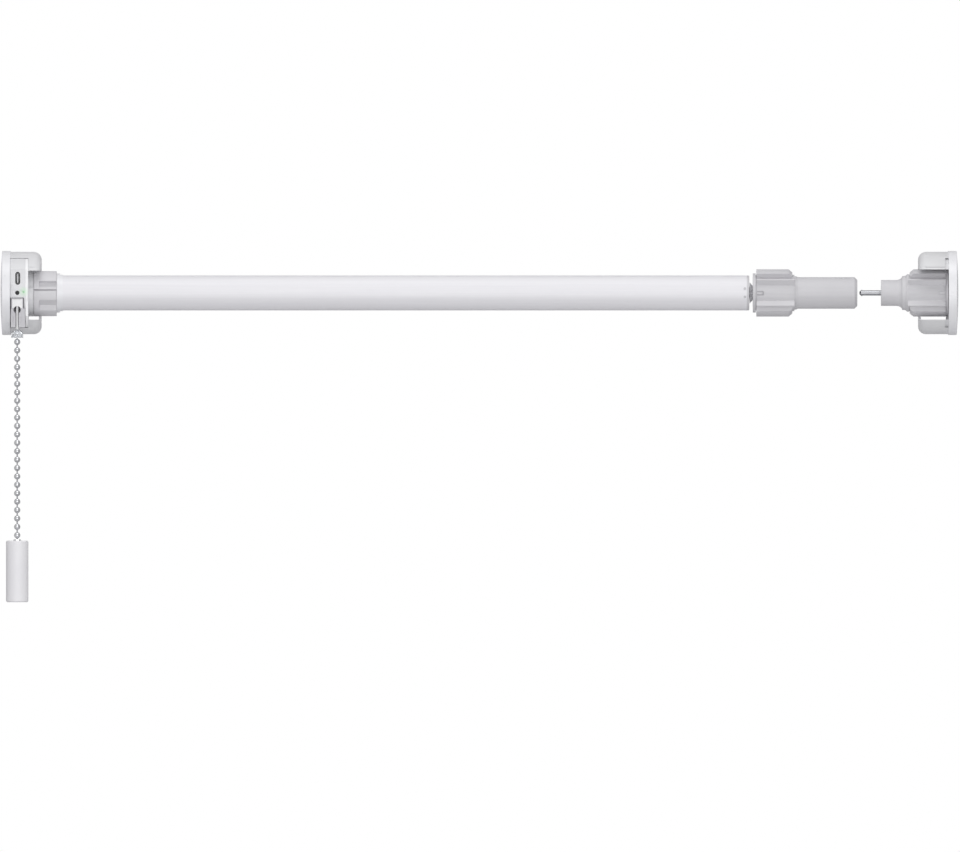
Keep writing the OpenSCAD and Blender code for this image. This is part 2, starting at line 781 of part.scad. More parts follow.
module first_planet_a() { planet(first_gears, 0); }
module first_planet_b() { planet(first_gears, 120); }
module first_planet_c() { planet(first_gears, 240); }
module second_planet_a() { planet(second_gears, 0); }
module second_planet_b() { planet(second_gears, 120); }
module second_planet_c() { planet(second_gears, 240); }

module rotor() {
  color([0.6, 0.45, 0.3]) place() {
    bar(motor_from - 7, first_gears - motor_from + 7, rotor_shaft_r);
    along_x(first_gears - 0.2, planet_width + 0.1) outer_gear(sun_teeth);
    along_x(motor_from + 9, motor_length - 16) difference() {
      circle(r = rotor_r);
      for (a = [0 : 60 : 300]) rotate(a) translate([rotor_r - 2.1, 0]) square([1.6, 2.4], center = true);
      for (a = [0 : 60 : 300]) rotate(a) translate([rotor_r - 0.3, 0]) square([2.2, 0.8], center = true);
    }
    bar(motor_from + 3.2, 5.8, 2.6);
  }
}

module count_magnet() {
  color([0.3, 0.3, 0.32]) place() ring(motor_from - 6.4, 3.6, 3.4, rotor_shaft_r);
}

module motor_damper() {
  color([0.1, 0.1, 0.1]) place() ring(motor_from + 4, 10, tube_in_r, can_r);
}

module gearbox_plate() {
  color([0.55, 0.55, 0.57]) place() ring(motor_to, 3.8, tube_in_r - 0.05, rotor_shaft_r + 0.6);
}

module ring_gear() {
  color([0.5, 0.5, 0.52]) place() {
    along_x(motor_to + 3.8, gears_to - motor_to - 3.8) difference() {
      circle(r = tube_in_r - 0.05);
      rotate(180 / ring_teeth)
        gear_outline(
          ring_teeth, gear_module * (ring_teeth / 2 - 0.8), gear_module * (ring_teeth / 2 + 1.2), flank_play
        );
    }
    ring(gears_to, bush_from - gears_to, tube_in_r - 0.05, carrier_r + 1.6);
  }
}

module first_carrier() {
  color([0.62, 0.62, 0.64]) place() {
    bar(first_gears + planet_width + 0.2, 2.6, carrier_r);
    planet_pins(first_gears, planet_width + 1);
    along_x(first_gears + planet_width + 2.6, planet_width + 1.1) outer_gear(sun_teeth);
  }
}

module output_shaft() {
  color([0.58, 0.58, 0.6]) place() {
    bar(second_gears + planet_width + 0.6, 4.5, carrier_r);
    planet_pins(second_gears, planet_width + 1.5);
    bar(second_gears + planet_width + 4, tube_to - second_gears - planet_width + 0.1, shaft_r);
    difference() {
      translate([tube_to + 2, 0, 0]) rotate([0, 90, 0])
        cylinder(r = shaft_flats / sqrt(3), h = hex_length, $fn = 6);
      bar(tube_to + hex_length - 13.2, 20, 1.25);
    }
    translate([tube_to + 2.1, 0, 0]) rotate([90, 0, 90]) linear_extrude(2.2, scale = 0.68) polygon([
      for (i = [0 : 23]) (i % 2 == 0 ? 7.6 : 6) * [cos(i * 15 + 8), sin(i * 15 + 8)]
    ]);
  }
}

module output_bush() {
  color([0.72, 0.66, 0.45]) place()
    ring(bush_from, bush_length, tube_in_r - 0.05, shaft_r + running_gap);
}

module tube_end_plug() {
  color([0.85, 0.85, 0.87]) place() difference() {
    union() {
      bar(end_plug_from, end_plug_length, tube_in_r);
      turned() polygon([
        [0, tube_to], [tube_r, tube_to], [tube_r, tube_to + 1.4], [tube_r - 0.4, tube_to + 1.8],
        [0, tube_to + 1.8]
      ]);
    }
    bar(bush_from, 80, shaft_r + running_gap);
    end_screw_shape();
  }
}

module end_screw_shape() {
  for (z = [2.85, -3.05]) rotate([asin(z / tube_r), 0, 0]) mirror([0, 1, 0]) translate([tube_to - 1.4, 0, 0])
    rotate([-90, 0, 0]) {
      translate([0, 0, tube_r - 4]) cylinder(r = 0.6, h = 4.1);
      translate([0, 0, tube_r - 0.1]) cylinder(r = 0.95, h = 0.4);
    }
}

module end_screws() { color([0.6, 0.6, 0.62]) place() end_screw_shape(); }

// Ribs, grooves and land that take the roller tube's keys, the same on both ends
module key_outline() {
  circle(r = groove_r);
  for (back = [0, 180]) rotate(back) {
    sector(-24.6, 24.6, land_r);
    for (up = [0, 1]) mirror([0, up]) polygon([
      at(groove_r - 1, 20), at(land_r, 24.6), at(rib_r, 32.6), at(rib_r, 35.5), at(groove_r - 1, 35.5)
    ]);
  }
}

// Each wide lug has a radial flank on one side and an upright face on the other
module lug_outline() {
  for (up = [0, 180]) rotate(up) {
    sector(54.4, 126.4, rib_r);
    translate([0, groove_r - 5]) square([rib_r * cos(55), rib_r * sin(51) - groove_r + 5]);
  }
}

module ribbed_length() {
  along_x(0, rib_length) key_outline();
  intersection() {
    along_x(0, lug_length + 2.7) lug_outline();
    turned() polygon([
      [0, 0], [rib_r, 0], [rib_r, lug_length], [rib_r - 2.2, lug_length + 2.7], [0, lug_length + 2.7]
    ]);
  }
}

// Small latch slot in the land beside the flange
module latch_slot() {
  for (side = [-1, 1]) translate([0.4, -land_r - 1, side * 1.15 - 0.35]) cube([4.4, 2.6, 0.7]);
  translate([4.4, -land_r - 1, -1.5]) cube([0.7, 2.6, 3]);
}

module drive_adapter() {
  color([0.77, 0.77, 0.79]) place() difference() {
    union() {
      bar(adapter_from, 2, adapter_flange_r);
      bar(adapter_from, 3, groove_r - 0.4);
      difference() {
        translate([adapter_ribs_from, 0, 0]) ribbed_length();
        translate([adapter_ribs_from, 0, -0.3]) latch_slot();
      }
      translate([adapter_ribs_from + rib_length, 0, 0]) turned() polygon([
        [0, -3], [sleeve_r + 0.6, -3], [sleeve_r + 0.6, 1.4], [sleeve_r, 2.2], [sleeve_r, sleeve_length - 2],
        [sleeve_r - 2, sleeve_length], [0, sleeve_length]
      ]);
    }
    translate([adapter_from - 1, 0, 0]) rotate([0, 90, 0])
      cylinder(r = (shaft_flats + 0.1) / sqrt(3), h = hex_room + 1, $fn = 6);
    bar(adapter_from + hex_room - 10, 20, 1.7);
    bar(adapter_from + hex_room + 2, rib_length + sleeve_length, sleeve_r - 2.5);
  }
}

module adapter_screw() {
  color([0.6, 0.6, 0.62]) place() {
    bar(adapter_from + hex_room - 12, 16, 1.25);
    difference() {
      bar(adapter_from + hex_room + 2, 2.4, 3);
      translate([adapter_from + hex_room + 3.2, 0, 0]) {
        translate([0, -0.5, -2]) cube([2, 1, 4]);
        translate([0, -2, -0.5]) cube([2, 4, 1]);
      }
    }
  }
}

module idler_axle() {
  color([0.72, 0.73, 0.75]) place() {
    turned() polygon([
      [0, axle_from], [axle_r - 1, axle_from], [axle_r, axle_from + 0.9], [axle_r, axle_from + 1.3],
      [axle_r - 0.4, axle_from + 1.3], [axle_r - 0.4, axle_from + 2.1], [axle_r, axle_from + 2.1],
      [axle_r, axle_to], [axle_r + 1.3, axle_to], [axle_r + 1.3, axle_to + 1], [0, axle_to + 1]
    ]);
  }
}

module axle_clip() {
  color([0.45, 0.45, 0.47]) place() difference() {
    ring(axle_from + 1.3, 0.8, axle_r + 0.35, axle_r - 0.4);
    translate([axle_from, 0, -1.2]) cube([4, 6, 2.4]);
  }
}

module idler_bush() {
  color([0.9, 0.9, 0.88]) place() difference() {
    union() {
      bar(plug_from + 0.4, plug_to - plug_from - 0.5, bush_r);
      bar(plug_to - 1.1, 1, bush_r + 2.6);
    }
    bar(plug_from, plug_length + 10, axle_r + running_gap);
  }
}

module bush_clip() {
  color([0.5, 0.5, 0.52]) place() difference() {
    ring(plug_from + 0.9, 0.9, bush_r + 1.6, bush_r);
    translate([plug_from, 0, -2.2]) cube([4, 8, 4.4]);
  }
}

module idler_plug() {
  ribs_to = plug_to - 1.7;
  flare = groove_r - 0.9 - plug_sleeve_r;
  color([0.77, 0.77, 0.79]) place() difference() {
    union() {
      turned() polygon([
        [0, plug_from], [plug_sleeve_r, plug_from],
        for (t = [0 : 15 : 90]) [plug_sleeve_r + flare * (1 - cos(t)), plug_from + 10.6 + 4.5 * sin(t)],
        [groove_r - 0.7, plug_from + 17.4], [groove_r + 0.4, plug_from + 18.7],
        [groove_r + 0.4, plug_from + 20], [groove_r - 0.4, plug_from + 20],
        [groove_r - 0.4, plug_to - 1.4], [plug_flange_r, plug_to - 1.4], [plug_flange_r, plug_to],
        [0, plug_to]
      ]);
      difference() {
        translate([ribs_to, 0, 0]) mirror([1, 0, 0]) ribbed_length();
        translate([ribs_to, 0, -0.1]) mirror([1, 0, 0]) latch_slot();
      }
    }
    bar(plug_from - 1, plug_length + 10, bush_r + running_gap);
    bar(plug_from - 1, 2.9, bush_r + 2);
    bar(plug_to - 1.2, 3, bush_r + 2.9);
  }
}

motor_cap();
motor_drum();
motor_plate();
idler_cap();
idler_drum();
idler_plate();
head_housing();
head_flange();
head_back_plate();
head_screws();
head_board();
charging_shell();
charging_tongue();
program_button();
button_switch();
light_guide();
pull_frame();
pull_cover();
pull_slider();
pull_spring();
pull_wire();
pull_switch();
chain_connector();
bead_chain();
pendant();
pendant_ferrule();
crown();
crown_collar();
tube_collar();
motor_tube();
battery_cells();
battery_tray();
control_board();
board_carrier();
motor_can();
motor_magnets();
motor_end_cap();
rotor();
count_magnet();
motor_damper();
gearbox_plate();
ring_gear();
first_planet_a();
first_planet_b();
first_planet_c();
first_carrier();
second_planet_a();
second_planet_b();
second_planet_c();
output_shaft();
output_bush();
tube_end_plug();
end_screws();
drive_adapter();
adapter_screw();
idler_axle();
axle_clip();
idler_bush();
bush_clip();
idler_plug();
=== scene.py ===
"""Looks of the tubular roller blind motor set: materials, fine pieces, light and camera around its CAD frame.

Everything is in metres in the frame of the CAD model: X runs along the motor, Y towards the wall and Z up.
"""

import math

import bmesh
import bpy
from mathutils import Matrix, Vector


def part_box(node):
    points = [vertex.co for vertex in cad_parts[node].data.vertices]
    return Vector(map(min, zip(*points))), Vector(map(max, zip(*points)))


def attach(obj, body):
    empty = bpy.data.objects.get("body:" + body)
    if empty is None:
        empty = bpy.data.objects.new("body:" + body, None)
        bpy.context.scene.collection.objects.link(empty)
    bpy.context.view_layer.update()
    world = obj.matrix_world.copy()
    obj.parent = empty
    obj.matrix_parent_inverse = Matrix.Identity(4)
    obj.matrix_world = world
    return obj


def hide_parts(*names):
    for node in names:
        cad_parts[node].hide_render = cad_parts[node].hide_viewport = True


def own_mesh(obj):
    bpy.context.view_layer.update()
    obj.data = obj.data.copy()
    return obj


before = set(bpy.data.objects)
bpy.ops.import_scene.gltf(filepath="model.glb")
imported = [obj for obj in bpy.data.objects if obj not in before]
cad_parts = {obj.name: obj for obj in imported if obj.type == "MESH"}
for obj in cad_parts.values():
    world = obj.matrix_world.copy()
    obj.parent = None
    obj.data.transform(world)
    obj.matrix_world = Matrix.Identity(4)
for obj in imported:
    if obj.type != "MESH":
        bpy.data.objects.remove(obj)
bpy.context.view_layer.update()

# Places on the set
AXIS_Y = -0.030  # the motor's axis lies 30 mm in front of the wall
STATION_0 = -0.018  # X of the outer face of the motor side's cap
LIGHT_POINT = (STATION_0 + 0.01675, AXIS_Y - 0.0238, 0.0007)  # where the status light shines out
LIGHT_REACH = 0.0042  # how far around that point it tints the white plastic

# The bead chain
CHAIN_X, CHAIN_Y = -0.0059, -0.052  # the line on which it hangs
FIRST_BEAD_Z = -0.0291
BEAD_PITCH, BEAD_COUNT, BEAD_R = 0.006, 25, 0.00225
BEAD_SHEET = 0.00028  # thickness of the sheet that the balls are rolled from
BEAD_HOLE_R = 0.00095  # where a ball's outside turns in to its lip
LINK_R = 0.00054  # of the rod between two balls
KNOB_R, KNOB_DOWN = 0.00095, 0.0011  # a link's heads, and how far they lie from the middles of their balls
PENDANT_TOP = FIRST_BEAD_Z - BEAD_COUNT * BEAD_PITCH + 0.0022  # a little under the last ball
LAST_LINK_DEEP = 0.0045  # how far the last link goes down into the pendant

# The pull's spring
SPRING_TURNS, SPRING_WIRE_R = 4, 0.00024

# Rounded edges
ROUNDED = "crown drive_adapter idler_plug motor_drum idler_drum head_housing pull_frame".split()
ROUND_WIDTH = 0.00025
ROUND_ANGLE = 35  # degrees; edges that turn by more than this are rounded

# The picture
PICTURE_WIDTH = 0.6861  # how much of the object's front the picture's width shows
PICTURE_X, PICTURE_Z = 0.3246, -0.0951  # what the picture's middle shows
CAMERA_AWAY = 27.0

# Light
SOFT_STRENGTH, SOFT_COLOUR = 0.455, (0.985, 0.985, 1.0, 1)  # of the even light from all around
LIGHT_AIM = (PICTURE_X, AXIS_Y, -0.05)
KEY_PLACE, KEY_SIZE, KEY_POWER = (0.25, -0.85, 2.3), (2.2, 1.3), 22.5
FILL_AWAY, FILL_Z, FILL_SIZE, FILL_POWER = 3.2, -0.1, (2.4, 1.6), 36
FLOOR_Z, FLOOR_R = -0.45, 0.8
FLOOR_GLOW = 0.85  # share of pure white in what the camera sees of the floor
CARD_SIZE = 2.4

# Heights of the fine relief on a surface
GRAIN = 0.00004
TOOL_MARKS = 0.00003
POLISH = 0.00002


# Camera, floor and light


def make_camera():
    """Square on and from far away, as the photograph shows neither end from its side."""
    data = bpy.data.cameras.new("camera")
    data.sensor_width = 36
    data.lens = data.sensor_width * CAMERA_AWAY / PICTURE_WIDTH
    data.clip_start, data.clip_end = 1, 100
    camera = bpy.data.objects.new("camera", data)
    bpy.context.scene.collection.objects.link(camera)
    camera.location = (PICTURE_X, AXIS_Y - CAMERA_AWAY, PICTURE_Z)
    camera.rotation_euler = (math.pi / 2, 0, 0)
    bpy.context.scene.camera = camera
    bpy.context.scene.view_settings.view_transform = "Standard"


def make_world():
    """Even studio light, and white behind the set for the camera and for what shows through clear plastic."""
    world = bpy.data.worlds.new("studio")
    bpy.context.scene.world = world
    world.use_nodes = True
    tree = world.node_tree
    tree.nodes.clear()
    rays = tree.nodes.new("ShaderNodeLightPath")
    either = tree.nodes.new("ShaderNodeMath")
    either.operation = "MAXIMUM"
    tree.links.new(rays.outputs["Is Camera Ray"], either.inputs[0])
    tree.links.new(rays.outputs["Is Transmission Ray"], either.inputs[1])
    soft = tree.nodes.new("ShaderNodeBackground")
    soft.inputs["Color"].default_value = SOFT_COLOUR
    soft.inputs["Strength"].default_value = SOFT_STRENGTH
    white = tree.nodes.new("ShaderNodeBackground")
    white.inputs["Color"].default_value = (1, 1, 1, 1)
    white.inputs["Strength"].default_value = 1.0
    mix = tree.nodes.new("ShaderNodeMixShader")
    tree.links.new(either.outputs[0], mix.inputs[0])
    tree.links.new(soft.outputs[0], mix.inputs[1])
    tree.links.new(white.outputs[0], mix.inputs[2])
    out = tree.nodes.new("ShaderNodeOutputWorld")
    tree.links.new(mix.outputs[0], out.inputs["Surface"])


def lamp(name, place, size, power):
    """A rectangular soft box that faces the set."""
    data = bpy.data.lights.new(name, "AREA")
    data.shape, data.size, data.size_y = "RECTANGLE", size[0], size[1]
    data.energy = power
    light = bpy.data.objects.new(name, data)
    bpy.context.scene.collection.objects.link(light)
    light.location = place
    light.rotation_euler = (Vector(LIGHT_AIM) - Vector(place)).to_track_quat("-Z", "Y").to_euler()
    return light


def make_lamps():
    """A soft box nearly overhead, and wide ones in front and behind that keep the recesses open."""
    lamp("key", KEY_PLACE, KEY_SIZE, KEY_POWER)
    for name, away in (("fill", -FILL_AWAY), ("back_fill", FILL_AWAY)):
        fill = lamp(name, (PICTURE_X, away, FILL_Z), FILL_SIZE, FILL_POWER)
        fill.visible_glossy = fill.visible_camera = False


def make_floor():
    """A round grey floor that throws a little light back up and looks white to the camera."""
    bpy.ops.mesh.primitive_circle_add(
        vertices=128, radius=FLOOR_R, fill_type="NGON", location=(PICTURE_X, 0, FLOOR_Z)
    )
    floor = bpy.context.object
    floor.name = "floor"
    m, p = new_material("floor")
    p.inputs["Base Color"].default_value = (0.6, 0.6, 0.61, 1)
    p.inputs["Roughness"].default_value = 0.8
    tree = m.node_tree
    rays = tree.nodes.new("ShaderNodeLightPath")
    share = tree.nodes.new("ShaderNodeMath")
    share.operation = "MULTIPLY"
    share.inputs[1].default_value = FLOOR_GLOW
    tree.links.new(rays.outputs["Is Camera Ray"], share.inputs[0])
    glow = tree.nodes.new("ShaderNodeEmission")
    mix = tree.nodes.new("ShaderNodeMixShader")
    tree.links.new(share.outputs[0], mix.inputs[0])
    tree.links.new(p.outputs[0], mix.inputs[1])
    tree.links.new(glow.outputs[0], mix.inputs[2])
    tree.links.new(mix.outputs[0], tree.nodes["Material Output"].inputs["Surface"])
    floor.data.materials.append(m)


def make_cards():
    """Cards that only reflections see, as a photographer shapes chrome.

    Two stand beside the set and a bright one in front of it.
    """
    beside, facing = (0, math.pi / 2, 0), (math.pi / 2, 0, 0)
    for name, place, turn, brightness in (
        ("card_left", (-1.0, -0.6, -0.1), beside, 0.6),
        ("card_right", (1.7, -0.6, -0.1), beside, 0.45),
        ("card_front", (0.3, -2.2, -0.1), facing, 1.6),
    ):
        bpy.ops.mesh.primitive_plane_add(size=CARD_SIZE, location=place, rotation=turn)
        card = bpy.context.object
        card.name = name
        m = bpy.data.materials.new(name)
        m.use_nodes = True
        m.node_tree.nodes.clear()
        glow = m.node_tree.nodes.new("ShaderNodeEmission")
        glow.inputs["Color"].default_value = (brightness, brightness, brightness, 1)
        out = m.node_tree.nodes.new("ShaderNodeOutputMaterial")
        m.node_tree.links.new(glow.outputs[0], out.inputs["Surface"])
        card.data.materials.append(m)
        card.visible_camera = card.visible_diffuse = card.visible_shadow = card.visible_transmission = False


# Materials


def srgb(*values):
    """Linear colour of 0 to 255 display values."""
    linear = [v / 255 / 12.92 if v <= 10 else ((v / 255 + 0.055) / 1.055) ** 2.4 for v in values]
    return (*linear, 1)


def new_material(name):
    """A node material and its main shader."""
    m = bpy.data.materials.new(name)
    m.use_nodes = True
    return m, m.node_tree.nodes["Principled BSDF"]


def noise(tree, scale, detail, stretch=None):
    """A noise texture in the object's own coordinates; stretch scales its axes."""
    coord = tree.nodes.new("ShaderNodeTexCoord")
    source = coord.outputs["Object"]
    if stretch:
        mapping = tree.nodes.new("ShaderNodeMapping")
        mapping.inputs["Scale"].default_value = stretch
        tree.links.new(source, mapping.inputs["Vector"])
        source = mapping.outputs["Vector"]
    n = tree.nodes.new("ShaderNodeTexNoise")
    n.inputs["Scale"].default_value = scale
    n.inputs["Detail"].default_value = detail
    tree.links.new(source, n.inputs["Vector"])
    return n.outputs["Fac"]


def ramp(tree, fac, low, high, start=0.3, end=0.7):
    """Numbers from low to high as fac goes from start to end."""
    r = tree.nodes.new("ShaderNodeMapRange")
    r.inputs["From Min"].default_value, r.inputs["From Max"].default_value = start, end
    r.inputs["To Min"].default_value, r.inputs["To Max"].default_value = low, high
    tree.links.new(fac, r.inputs["Value"])
    return r.outputs["Result"]


def blend_colour(tree, fac, a, b):
    """The colour between a and b, each of them a colour or a socket."""
    mix = tree.nodes.new("ShaderNodeMix")
    mix.data_type = "RGBA"
    for socket, value in ((mix.inputs[6], a), (mix.inputs[7], b)):
        if isinstance(value, tuple):
            socket.default_value = value
        else:
            tree.links.new(value, socket)
    tree.links.new(fac, mix.inputs[0])
    return mix.outputs[2]


def colour_by(tree, p, fac, dark, light):
    """Lets the base colour go from one display colour to another with fac."""
    tree.links.new(blend_colour(tree, fac, srgb(*dark), srgb(*light)), p.inputs["Base Color"])


def rough_by(tree, p, scale, detail, low, high):
    """Lets the roughness wander between two values."""
    tree.links.new(ramp(tree, noise(tree, scale, detail), low, high), p.inputs["Roughness"])


def bump(tree, p, height, strength, distance):
    """Adds relief on top of the relief that the shader has already."""
    b = tree.nodes.new("ShaderNodeBump")
    b.inputs["Strength"].default_value = strength
    b.inputs["Distance"].default_value = distance
    tree.links.new(height, b.inputs["Height"])
    if p.inputs["Normal"].is_linked:
        tree.links.new(p.inputs["Normal"].links[0].from_socket, b.inputs["Normal"])
    tree.links.new(b.outputs["Normal"], p.inputs["Normal"])


def plastic(name, light, dark, rough, grain=0.12, grain_scale=2600, gloss=0.5):
    """Moulded plastic: faint clouds in its colour, uneven gloss and the fine grain of the mould."""
    m, p = new_material(name)
    tree = m.node_tree
    colour_by(tree, p, ramp(tree, noise(tree, 38, 3), 0, 1), dark, light)
    rough_by(tree, p, 160, 3, *rough)
    bump(tree, p, noise(tree, grain_scale, 2), grain, GRAIN)
    p.inputs["IOR"].default_value = 1.48
    p.inputs["Specular IOR Level"].default_value = gloss
    return m


def painted_tube():
    """Satin lacquer on a drawn aluminium tube: soft orange peel over faint lengthwise draw lines."""
    m, p = new_material("tube_lacquer")
    tree = m.node_tree
    lines = noise(tree, 900, 2, (0.01, 1, 1))
    colour_by(tree, p, ramp(tree, lines, 0, 1), (236, 235, 239), (240, 239, 242))
    rough_by(tree, p, 120, 3, 0.44, 0.52)
    bump(tree, p, lines, 0.05, TOOL_MARKS)
    bump(tree, p, noise(tree, 700, 1), 0.1, GRAIN)
    p.inputs["IOR"].default_value = 1.5
    return m


def metal(name, light, dark, rough, stretch=None, scale=1500, depth=0.1):
    """Bare or plated metal with fine tool marks; stretch lengthens the marks along an axis."""
    m, p = new_material(name)
    tree = m.node_tree
    marks = noise(tree, scale, 3, stretch)
    colour_by(tree, p, ramp(tree, marks, 0, 1), dark, light)
    rough_by(tree, p, 220, 3, *rough)
    bump(tree, p, marks, depth, TOOL_MARKS)
    p.inputs["Metallic"].default_value = 1.0
    return m


def zinc_plate():
    """Galvanised sheet with soft spangles."""
    m, p = new_material("zinc_plate")
    tree = m.node_tree
    coord = tree.nodes.new("ShaderNodeTexCoord")
    cells = tree.nodes.new("ShaderNodeTexVoronoi")
    cells.inputs["Scale"].default_value = 260
    tree.links.new(coord.outputs["Object"], cells.inputs["Vector"])
    grey = tree.nodes.new("ShaderNodeRGBToBW")
    tree.links.new(cells.outputs["Color"], grey.inputs[0])
    colour_by(tree, p, grey.outputs[0], (176, 178, 182), (204, 206, 210))
    tree.links.new(ramp(tree, grey.outputs[0], 0.3, 0.48, 0, 1), p.inputs["Roughness"])
    bump(tree, p, noise(tree, 1400, 3), 0.1, TOOL_MARKS)
    p.inputs["Metallic"].default_value = 1.0
    return m


def clear_plastic():
    """Slightly milky clear plastic, as the chain's connector is moulded from."""
    m, p = new_material("clear_plastic")
    tree = m.node_tree
    colour_by(tree, p, ramp(tree, noise(tree, 240, 2), 0, 1), (238, 240, 242), (246, 247, 249))
    p.inputs["Transmission Weight"].default_value = 0.72
    p.inputs["IOR"].default_value = 1.25
    rough_by(tree, p, 300, 2, 0.22, 0.3)
    bump(tree, p, noise(tree, 900, 1), 0.04, POLISH)
    return m


def green_light():
    """The status light's guide, faintly lit."""
    m, p = new_material("light_guide")
    tree = m.node_tree
    colour_by(tree, p, ramp(tree, noise(tree, 1200, 1), 0, 1), (172, 206, 176), (192, 220, 195))
    p.inputs["Roughness"].default_value = 0.3
    p.inputs["Emission Color"].default_value = srgb(150, 225, 158)
    p.inputs["Emission Strength"].default_value = 0.12
    return m


def glow_around(m, colour):
    """Tints a white plastic where the status light shines through it."""
    tree = m.node_tree
    p = tree.nodes["Principled BSDF"]
    coord = tree.nodes.new("ShaderNodeTexCoord")
    away = tree.nodes.new("ShaderNodeVectorMath")
    away.operation = "DISTANCE"
    tree.links.new(coord.outputs["Object"], away.inputs[0])
    away.inputs[1].default_value = LIGHT_POINT
    fac = ramp(tree, away.outputs["Value"], 1, 0, LIGHT_REACH * 0.15, LIGHT_REACH)
    base = p.inputs["Base Color"].links[0].from_socket
    tree.links.new(blend_colour(tree, fac, base, srgb(*colour)), p.inputs["Base Color"])


def paint(node, material):
    """Gives a CAD solid its material."""
    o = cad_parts[node]
    o.data.materials.clear()
    o.data.materials.append(material)


def round_edges(node):
    """Softens the moulded or stamped edges of a CAD solid, as every real one is."""
    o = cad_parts[node]
    weld = o.modifiers.new("weld", "WELD")
    weld.merge_threshold = 0.000002
    b = o.modifiers.new("edges", "BEVEL")
    b.limit_method, b.angle_limit = "ANGLE", math.radians(ROUND_ANGLE)
    b.width, b.segments = ROUND_WIDTH, 2
    b.use_clamp_overlap = True
    b.harden_normals = True


# Pieces


def add_mesh(name, bm):
    """A new object from a finished bmesh, with its faces turned outwards."""
    bmesh.ops.recalc_face_normals(bm, faces=bm.faces)
    mesh = bpy.data.meshes.new(name)
    bm.to_mesh(mesh)
    bm.free()
    o = bpy.data.objects.new(name, mesh)
    bpy.context.scene.collection.objects.link(o)
    return o


def lathe(name, profile, centre, steps):
    """A closed solid of revolution around a vertical line, from (radius, height) points of its section."""
    bm = bmesh.new()
    rings = [
        [bm.verts.new((r * math.cos(a), r * math.sin(a), z)) for r, z in profile]
        for a in (2 * math.pi * i / steps for i in range(steps))
    ]
    count = len(profile)
    for i in range(steps):
        for j in range(count):
            k = (j + 1) % count
            here, there = rings[i], rings[(i + 1) % steps]
            bm.faces.new((here[j], there[j], there[k], here[k]))
    bmesh.ops.remove_doubles(bm, verts=bm.verts, dist=1e-7)
    o = add_mesh(name, bm)
    o.location = centre
    return o


def arc(radius, centre_z, start, end, steps):
    """Points on a circle in a lathe's section; angles are in degrees from straight out, upwards."""
    points = []
    for i in range(steps + 1):
        a = math.radians(start + (end - start) * i / steps)
        points.append((radius * math.cos(a), centre_z + radius * math.sin(a)))
    return points


def smooth(o, angle):
    """Smooth shading with sharp edges where the surface turns by more than angle degrees."""
    for poly in o.data.polygons:
        poly.use_smooth = True
    o.data.set_sharp_from_angle(angle=math.radians(angle))


def join(objects, name):
    """One object from several, with its coordinates in the shared frame."""
    bpy.ops.object.select_all(action="DESELECT")
    for o in objects:
        o.select_set(True)
    bpy.context.view_layer.objects.active = objects[0]
    bpy.ops.object.join()
    o = bpy.context.view_layer.objects.active
    bpy.ops.object.transform_apply(location=True, rotation=True, scale=True)
    o.name = o.data.name = name
    return o


def bead_section():
    """A hollow ball rolled from sheet, with a rolled-in lip above and below where the links enter."""
    opening = math.degrees(math.acos(BEAD_HOLE_R / BEAD_R))
    inside = opening - 6
    lip = [(0.00082, BEAD_R * 0.88), (0.00074, BEAD_R * 0.8), (0.0009, BEAD_R * 0.76)]
    return [
        *arc(BEAD_R, 0, -opening, opening, 18),
        *lip,
        *arc(BEAD_R - BEAD_SHEET, 0, inside, -inside, 8),
        *((r, -z) for r, z in reversed(lip)),
    ]


def link_section(bead_z, last):
    """A dumbbell link from one ball to the next; the last one goes down into the pendant instead."""
    knob = arc(KNOB_R, -KNOB_DOWN, -10, 90, 6)
    top = [(0, -0.00015), *reversed(knob[:-1]), (LINK_R, -0.0016)]
    if last:
        foot = -(bead_z - PENDANT_TOP + LAST_LINK_DEEP)
        return [*top, (LINK_R, foot), (0, foot)]
    foot = KNOB_DOWN - BEAD_PITCH
    lower_knob = [(KNOB_R, foot - 0.0002), (0.0008, foot + 0.0004), (0, foot + 0.0006)]
    return [*top, (LINK_R, foot - 0.0005), *lower_knob]


def make_chain(steel):
    """The whole bead chain, from the ball in the connector to the link in the pendant."""
    parts = []
    for i in range(BEAD_COUNT):
        centre = (CHAIN_X, CHAIN_Y, FIRST_BEAD_Z - i * BEAD_PITCH)
        parts.append(lathe(f"bead_{i}", bead_section(), centre, 28))
        parts.append(lathe(f"link_{i}", link_section(centre[2], i == BEAD_COUNT - 1), centre, 14))
    chain = join(parts, "bead_chain_balls")
    smooth(chain, 50)
    chain.data.materials.append(steel)
    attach(chain, "chain")
    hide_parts("bead_chain")


